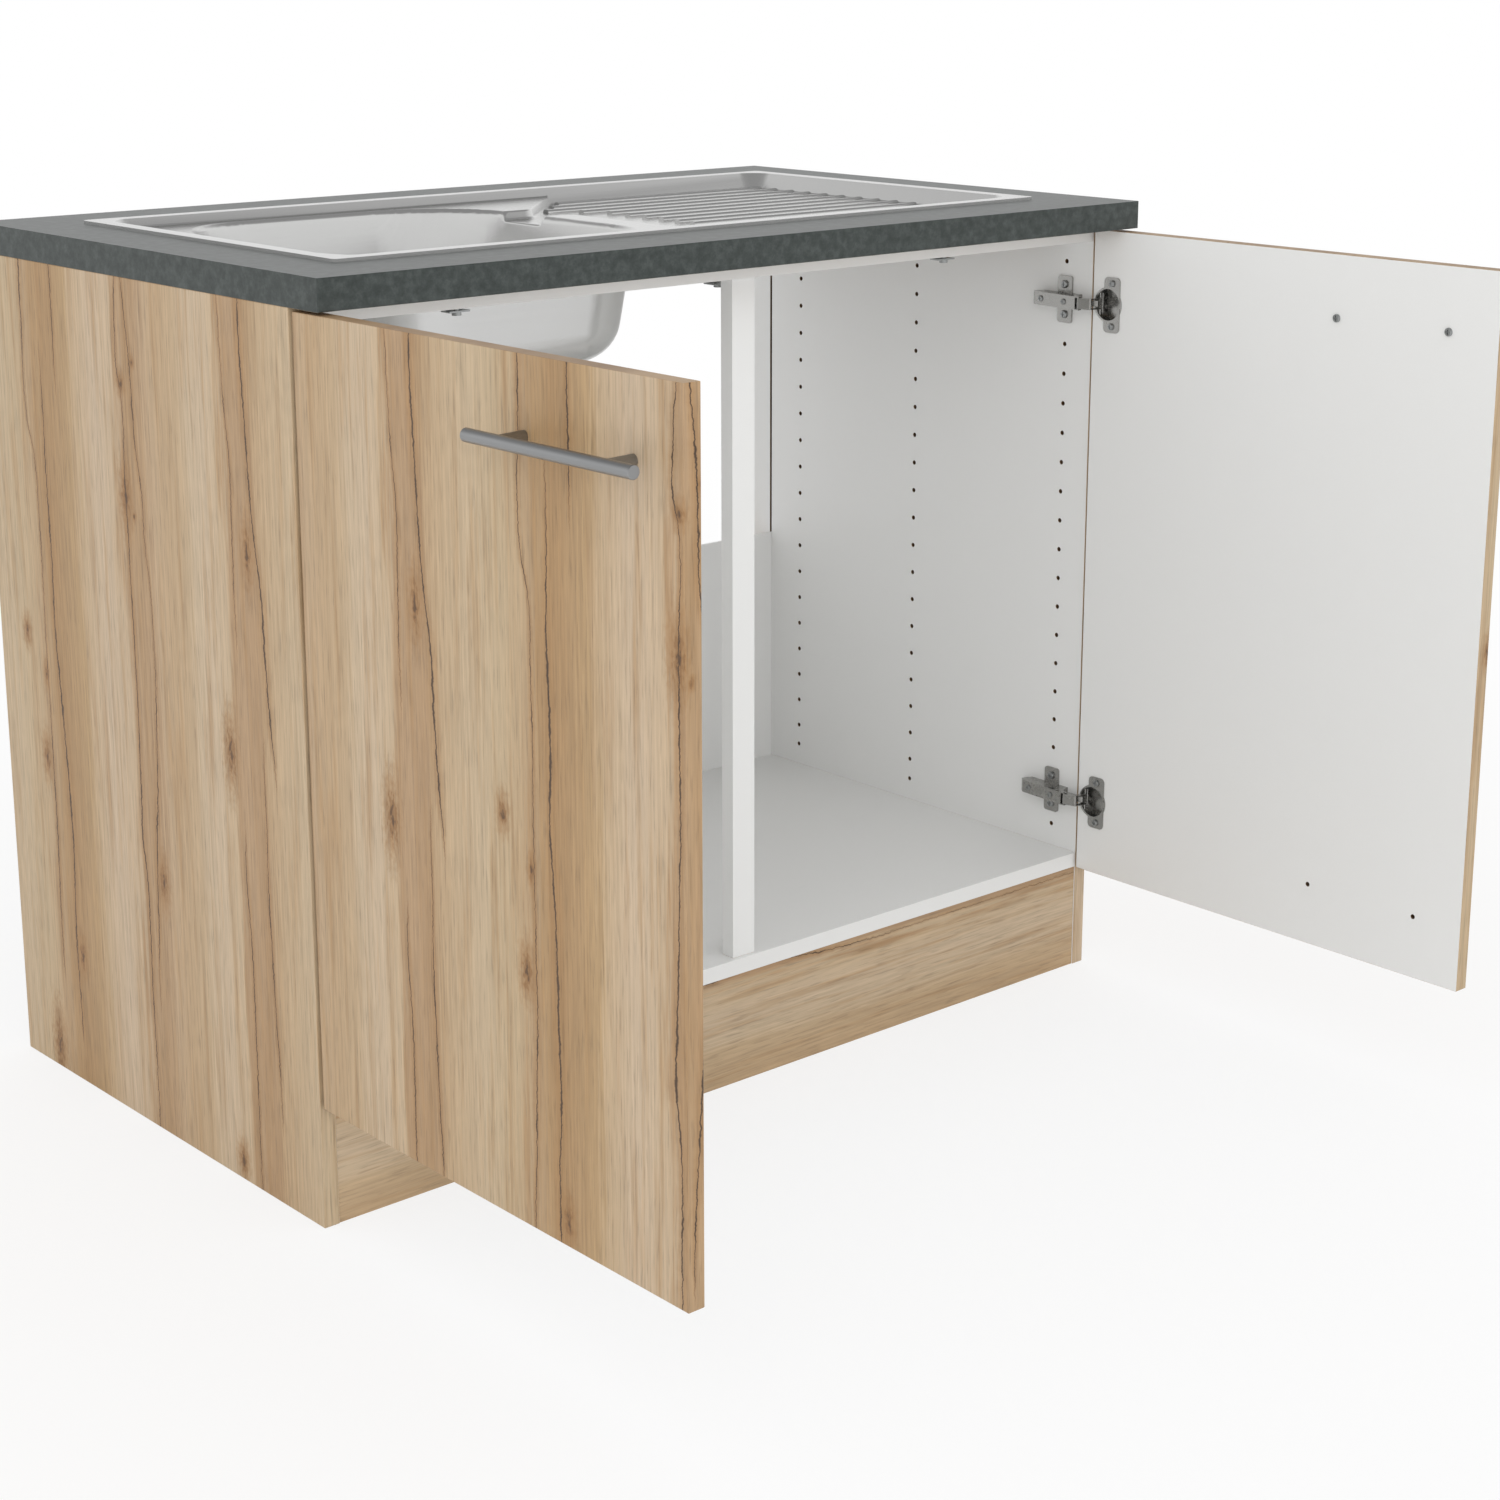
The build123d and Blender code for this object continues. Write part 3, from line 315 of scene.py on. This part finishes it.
def innerPart(tree, place, low, high, skin=0.6):  # 1 in the holes and grooves of a board
    centre = (low + high) / 2
    reach = (high - low) / 2 - Vector((skin, skin, skin))
    away = addNode(tree, "VectorMath", {0: place, 1: centre}, operation="SUBTRACT")
    away = addNode(tree, "VectorMath", {0: away}, operation="ABSOLUTE")
    away = addNode(tree, "VectorMath", {0: away, 1: reach}, operation="SUBTRACT")
    away = addNode(tree, "SeparateXYZ", {0: away}).node.outputs
    most = addNode(tree, "Math", {0: away[0], 1: away[1]}, operation="MAXIMUM")
    most = addNode(tree, "Math", {0: most, 1: away[2]}, operation="MAXIMUM")
    return addNode(tree, "Math", {0: most, 1: 0.0}, operation="LESS_THAN")


def paintNode(name, material):
    nodes[name].data.materials.clear()
    nodes[name].data.materials.append(material)


# White melamine: hard resin paper on chipboard. Faintly pebbled, with a soft sheen. Holes and
# grooves get a dark brown that is painted shade.
melamine = {"colour": "#ebebea", "fleck": "#e8e8e6", "roughness": 0.42, "spread": 0.03,
            "pebble": 0.9, "relief": 0.05, "hole": "#5d452e"}
# the doors' top and bottom edges show a plain strip of foil
edgeStrip = {"grain": (60, 60, 2), "stops": ((0.3, "#8e7151"), (0.7, "#ac8f6d"))}


def paintBoard(name, oak=None, white=None, raw=(), kind="chipboard"):
    # one material for a board: oak foil with its place on the print, the axis and level of its
    # white face and of its raw edges, and holes darkened with painted shade
    low, high = corners(name)
    material, tree = startMaterial(("wildOakFoil." if oak else "whiteMelamine.") + name)
    place = objectPlace(tree)
    pebble = addNode(tree, "TexNoise", {0: place, "Scale": 1 / melamine["pebble"],
                                        "Detail": 2.0})
    colour = addNode(tree, "Mix", {0: pebble, 6: linear(melamine["colour"]),
                                   7: linear(melamine["fleck"])}, 2, data_type="RGBA")
    roughness = addNode(tree, "MapRange", {0: pebble,
                                           3: melamine["roughness"] - melamine["spread"],
                                           4: melamine["roughness"] + melamine["spread"]})
    relief = pebble
    if oak:
        across = addNode(tree, "VectorMath", {0: place, 1: oak["across"]}, "Value",
                         operation="DOT_PRODUCT")
        across = addNode(tree, "Math", {0: across, 1: oak["start"]}, operation="ADD")
        along = addNode(tree, "VectorMath", {0: place, 1: oak["along"]}, "Value",
                        operation="DOT_PRODUCT")
        along = addNode(tree, "Math", {0: along, 1: oak["foot"]}, operation="ADD")
        foil, pores = oakFoil(tree, across, along)
        pores = addNode(tree, "Math", {0: pores, 1: -1.0}, operation="MULTIPLY")
        for level in oak["strips"]:
            strip = drawnNoise(tree, place, edgeStrip["grain"], 3.0)
            strip = addNode(tree, "ValToRGB", {0: strip}, stops=edgeStrip["stops"])
            foil = addNode(tree, "Mix", {0: nearPlane(tree, place, "Z", level), 6: foil,
                                         7: strip}, 2, data_type="RGBA")
        if white:
            face = nearPlane(tree, place, *white)
            colour = addNode(tree, "Mix", {0: face, 6: foil, 7: colour}, 2, data_type="RGBA")
            roughness = addNode(tree, "Mix", {0: face, 2: oakPrint["roughness"], 3: roughness})
            relief = addNode(tree, "Mix", {0: face, 2: pores, 3: pebble})
        else:
            colour, roughness, relief = foil, oakPrint["roughness"], pores
    chips = rawBoard(tree, place, kind)
    for axis, level in raw:
        colour = addNode(tree, "Mix", {0: nearPlane(tree, place, axis, level), 6: colour,
                                       7: chips}, 2, data_type="RGBA")
    # holes and grooves of the board: painted shade, a dark brown in place of the chipboard's own
    # colour
    colour = addNode(tree, "Mix", {0: innerPart(tree, place, low, high), 6: colour,
                                   7: linear(melamine["hole"])}, 2, data_type="RGBA")
    bump = addNode(tree, "Bump", {"Height": relief, "Distance": melamine["relief"] / 1000,
                                  "Strength": 0.35})
    shader = addNode(tree, "BsdfPrincipled", {"Base Color": colour, "Roughness": roughness,
                                              "Normal": bump})
    addNode(tree, "OutputMaterial", {0: shader})
    paintNode(name, material)


# Where each board's foil starts on the print, counted from the panels' front edges. Side panels
# and doors show the same knots, and the right ones are set off by a part of the repeat.
printStart = {"side_panel_left": 248, "side_panel_right": 438, "door_left": 0, "door_right": 310}
frontY = corners("side_panel_left")[0].y
for name, start in printStart.items():
    low, high = corners(name)
    toRight = name.endswith("right")
    outward, outer, inner = (1, high.x, low.x) if toRight else (-1, low.x, high.x)
    isDoor = name.startswith("door")
    oak = {"across": (-outward, -1, 0), "start": start + frontY + outward * outer,
           "along": (0, 0, 1), "foot": 0, "strips": (low.z, high.z) if isDoor else ()}
    raw = () if isDoor else (("Y", high.y), ("Z", low.z), ("Z", high.z))
    paintBoard(name, oak, ("X", inner), raw)
paintBoard("plinth_board", {"across": (0, 0, 1), "start": 560, "along": (1, 0, 0), "foot": 640,
                            "strips": ()})
for name, axis in (("bottom_panel", 0), ("front_rail", 0), ("rear_rail", 0), ("mullion", 2)):
    paintBoard(name, raw=[("XYZ"[axis], corner[axis]) for corner in corners(name)])
paintBoard("back_board", raw=(("Y", corners("back_board")[1].y),), kind="hardboard")
print("boards painted")


# Worktop: laminate with a mottled slate print. Slightly rough, greenish grey, and paler where
# light skims it; its underside is brown paper and its cut-out raw chipboard.
slate = {"light": "#4a504e", "mid": "#3c4240", "dark": "#323836", "under": "#8b7458",
         "patch": 9.0, "grit": 1.8, "tone": 0.07, "edge": 4.0, "relief": 0.08,
         "roughness": 0.36, "gloss": 0.32}
material, tree = startMaterial("slateLaminate")
place = objectPlace(tree)
low, high = corners("worktop")
patches = addNode(tree, "TexNoise", {0: place, "Scale": 1 / slate["patch"], "Detail": 5.0,
                                     "Roughness": 0.62})
colour = addNode(tree, "ValToRGB", {0: patches},
                 stops=((0.34, slate["dark"]), (0.5, slate["mid"]), (0.68, slate["light"])))
grit = addNode(tree, "TexNoise", {0: place, "Scale": 1 / slate["grit"], "Detail": 2.0})
speck = addNode(tree, "MapRange", {0: grit, 1: 0.3, 2: 0.7,
                                   3: 1 - slate["tone"], 4: 1 + slate["tone"]})
colour = addNode(tree, "VectorMath", {0: colour, "Scale": speck}, operation="SCALE")
below = nearPlane(tree, place, "Z", low.z)
colour = addNode(tree, "Mix", {0: below, 6: colour, 7: linear(slate["under"])}, 2,
                 data_type="RGBA")
cut = innerPart(tree, place, low, high, slate["edge"])
colour = addNode(tree, "Mix", {0: cut, 6: colour, 7: rawBoard(tree, place)}, 2,
                 data_type="RGBA")
bump = addNode(tree, "Bump", {"Height": grit, "Distance": slate["relief"] / 1000,
                              "Strength": 0.3})
shader = addNode(tree, "BsdfPrincipled", {"Base Color": colour, "Roughness": slate["roughness"],
                                          "Normal": bump, "Specular IOR Level": slate["gloss"]})
addNode(tree, "OutputMaterial", {0: shader})
paintNode("worktop", material)
print("worktop painted")


# Metals and the rest: one finish for each of these material slots of the record.
def metalFinish(name, colour, roughness, brush, scratch, spread):
    # a worked metal: brush holds the length of the grinding marks along x, y and z, and scratch
    # their depth, in millimetres; spread is how much the roughness varies
    material, tree = startMaterial(name)
    place = objectPlace(tree)
    marks = drawnNoise(tree, place, brush, 4.0, 0.65)
    cloud = addNode(tree, "TexNoise", {0: place, "Scale": 1 / 60, "Detail": 2.0})
    blend = addNode(tree, "Math", {0: marks, 1: cloud}, operation="MULTIPLY")
    level = addNode(tree, "MapRange", {0: blend, 1: 0.1, 2: 0.4,
                                       3: roughness - spread, 4: roughness + spread})
    tone = addNode(tree, "MapRange", {0: marks, 1: 0.3, 2: 0.7, 3: 0.975, 4: 1.01})
    tint = addNode(tree, "VectorMath", {0: linear(colour)[:3], "Scale": tone}, operation="SCALE")
    bump = addNode(tree, "Bump", {"Height": marks, "Distance": scratch / 1000,
                                  "Strength": 0.06})
    shader = addNode(tree, "BsdfPrincipled", {"Base Color": tint, "Metallic": 1.0,
                                              "Roughness": level, "Normal": bump})
    addNode(tree, "OutputMaterial", {0: shader})
    return material


def plainFinish(name, colour, other, roughness, grain):
    # moulded, foamed or cut material: two near tones mixed by fine noise, with a faint relief
    material, tree = startMaterial(name)
    fine = drawnNoise(tree, objectPlace(tree), grain, 3.0)
    tint = addNode(tree, "Mix", {0: fine, 6: linear(colour), 7: linear(other)}, 2,
                   data_type="RGBA")
    bump = addNode(tree, "Bump", {"Height": fine, "Distance": 0.0001, "Strength": 0.3})
    shader = addNode(tree, "BsdfPrincipled", {"Base Color": tint, "Roughness": roughness,
                                              "Normal": bump})
    addNode(tree, "OutputMaterial", {0: shader})
    return material


finishes = {
    # pressed stainless steel, satined along its length: pale grey with blurred reflections; its
    # marks are too fine to stand out, so they show in tone and sheen and not as relief
    "sink_steel": metalFinish("satinStainless", "#d2d2d1", roughness=0.26,
                              brush=(260, 1.0, 260), scratch=0.0, spread=0.01),
    # brushed steel tube: mid grey with lines along the bar
    "handle_steel": metalFinish("brushedSteel", "#9b9c9d", roughness=0.36,
                                brush=(1.2, 40, 1.2), scratch=0.02, spread=0.05),
    # nickel plate on pressed steel: mid grey, a little warm, smooth
    "nickel": metalFinish("nickelPlate", "#a5a4a1", roughness=0.26,
                          brush=(6, 6, 6), scratch=0.004, spread=0.04),
    # zinc plate: a little duller and bluer than nickel
    "zinc_steel": metalFinish("zincPlate", "#a4a6a6", roughness=0.32,
                              brush=(4, 4, 4), scratch=0.006, spread=0.06),
    # turned beech: pale, dense, fine flecks
    "dowel_beech": plainFinish("turnedBeech", "#d0b187", "#c09d70", roughness=0.6,
                               grain=(0.8, 0.8, 6)),
    # foam rubber: nearly black, quite matt
    "seal_rubber": plainFinish("foamRubber", "#232324", "#2e2e2f", roughness=0.8,
                               grain=(0.7, 0.7, 0.7)),
    # moulded polypropylene: white, silky
    "waste_plastic": plainFinish("mouldedPolypropylene", "#e2e2df", "#d9d9d6", roughness=0.38,
                                 grain=(5, 5, 5)),
}
print("finishes ready:", len(finishes))


def placeObject(name, data):
    piece = bpy.data.objects.new(name, data)
    bpy.context.scene.collection.objects.link(piece)
    return piece


# curved pieces: merged and smooth-shaded copies of the CAD solids, with their creases kept
smoothing = {"merge": 2e-6, "crease": 32.0}  # metres and degrees


def smoothCopy(name):
    mesh = nodes[name].data.copy()
    shape = bmesh.new()
    shape.from_mesh(mesh)
    bmesh.ops.remove_doubles(shape, verts=shape.verts, dist=smoothing["merge"])
    crease = math.radians(smoothing["crease"])
    for edge in shape.edges:
        edge.smooth = edge.is_manifold and edge.calc_face_angle(math.pi) < crease
    for face in shape.faces:
        face.smooth = True
    shape.to_mesh(mesh)
    shape.free()
    cadNormals = mesh.attributes.get("custom_normal")
    if cadNormals:  # the flat shading of the CAD node would override the smooth one
        mesh.attributes.remove(cadNormals)
    mesh.materials.clear()
    mesh.materials.append(finishes[slotOf[name]])
    piece = placeObject(name + ".finish", mesh)
    weighted = piece.modifiers.new("weightedNormals", "WEIGHTED_NORMAL")
    weighted.keep_sharp = True
    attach(piece, nodes[name]["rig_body"])
    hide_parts(name)


for name in nodes:
    if slotOf[name] in finishes:
        smoothCopy(name)
print("curved pieces smoothed")


# floor and light, in metres
studio = {
    "floor": "#f2f2f2", "floorSize": 80.0,
    "whiten": (0.75, 1.0), "fade": (0.9, 3.5),  # the eye sees the floor whiter further out
    "sky": 0.96, "dim": 0.34, "ceiling": (0.36, 0.62),  # the dim ceiling starts at this slope
    "aim": (0, 0, 0.4),
    "keyLamp": {"place": (-2.7, -3.1, 2.1), "size": 3.6, "power": 38.0},
    "fillLamp": {"place": (2.8, -3.6, 2.4), "size": 3.0, "power": 6.0},
}
shape = bmesh.new()
bmesh.ops.create_grid(shape, x_segments=1, y_segments=1, size=studio["floorSize"] / 2)
mesh = bpy.data.meshes.new("floor")
shape.to_mesh(mesh)
shape.free()
floor = placeObject("floor", mesh)
# pale matt floor: keeps the unit's shadow nearby and runs out into white
material, tree = startMaterial("paleFloor")
matt = addNode(tree, "BsdfDiffuse", {0: linear(studio["floor"])})
white = addNode(tree, "Emission", {0: (1, 1, 1, 1), 1: 1.0})
away = addNode(tree, "TexCoord", output="Object")
away = addNode(tree, "VectorMath", {0: away}, "Value", operation="LENGTH")
away = addNode(tree, "MapRange", {0: away, 1: studio["fade"][0], 2: studio["fade"][1],
                                  3: studio["whiten"][0], 4: studio["whiten"][1]},
               interpolation_type="SMOOTHSTEP")
ray = addNode(tree, "LightPath", output="Is Camera Ray")
share = addNode(tree, "Math", {0: ray, 1: away}, operation="MULTIPLY")
addNode(tree, "OutputMaterial", {0: addNode(tree, "MixShader", {0: share, 1: matt, 2: white})})
mesh.materials.append(material)

# the world is white to the eye and in gloss, but its ceiling is dim in gloss, which draws the
# folds of the steel
world = bpy.data.worlds.new("studio")
bpy.context.scene.world = world
world.use_nodes = True
tree = world.node_tree
tree.nodes.clear()
rays = addNode(tree, "LightPath").node.outputs
upward = addNode(tree, "VectorMath", {0: addNode(tree, "TexCoord"), 1: (0.0, 0.0, 1.0)}, "Value",
                 operation="DOT_PRODUCT")
gloss = addNode(tree, "MapRange", {0: upward, 1: studio["ceiling"][0], 2: studio["ceiling"][1],
                                   3: 1.0, 4: studio["dim"]})
strength = addNode(tree, "Mix", {0: rays["Is Glossy Ray"], 2: studio["sky"], 3: gloss})
plain = addNode(tree, "Math", {0: rays["Is Camera Ray"], 1: rays["Is Transmission Ray"]},
                operation="MAXIMUM")
strength = addNode(tree, "Mix", {0: plain, 2: strength, 3: 1.0})
addNode(tree, "OutputWorld", {0: addNode(tree, "Background", {0: (1, 1, 1, 1), 1: strength})})

for name in ("keyLamp", "fillLamp"):
    light = bpy.data.lights.new(name, "AREA")
    light.shape = "SQUARE"
    light.size = studio[name]["size"]
    light.energy = studio[name]["power"]
    lamp = placeObject(name, light)
    lamp.location = studio[name]["place"]
    aim = Vector(studio["aim"]) - Vector(studio[name]["place"])
    lamp.rotation_euler = aim.to_track_quat("-Z", "Y").to_euler()
    lamp.visible_glossy = False  # steel mirrors the world alone, or it would clip

# the camera: place in metres, turn and tilt in degrees, lens and sensor in millimetres
view = {"place": (-1.7068, -1.9641, 1.1156), "turn": 41.456, "down": 14.14, "lens": 66.3,
        "sensor": 36.0, "shift": -0.08}
cameraData = bpy.data.cameras.new("camera")
cameraData.lens = view["lens"]
cameraData.sensor_width = view["sensor"]
cameraData.shift_y = view["shift"]
camera = placeObject("camera", cameraData)
camera.location = view["place"]
camera.rotation_euler = (math.radians(90 - view["down"]), 0, -math.radians(view["turn"]))
bpy.context.scene.camera = camera
bpy.context.scene.view_settings.view_transform = "Standard"
print("studio ready")
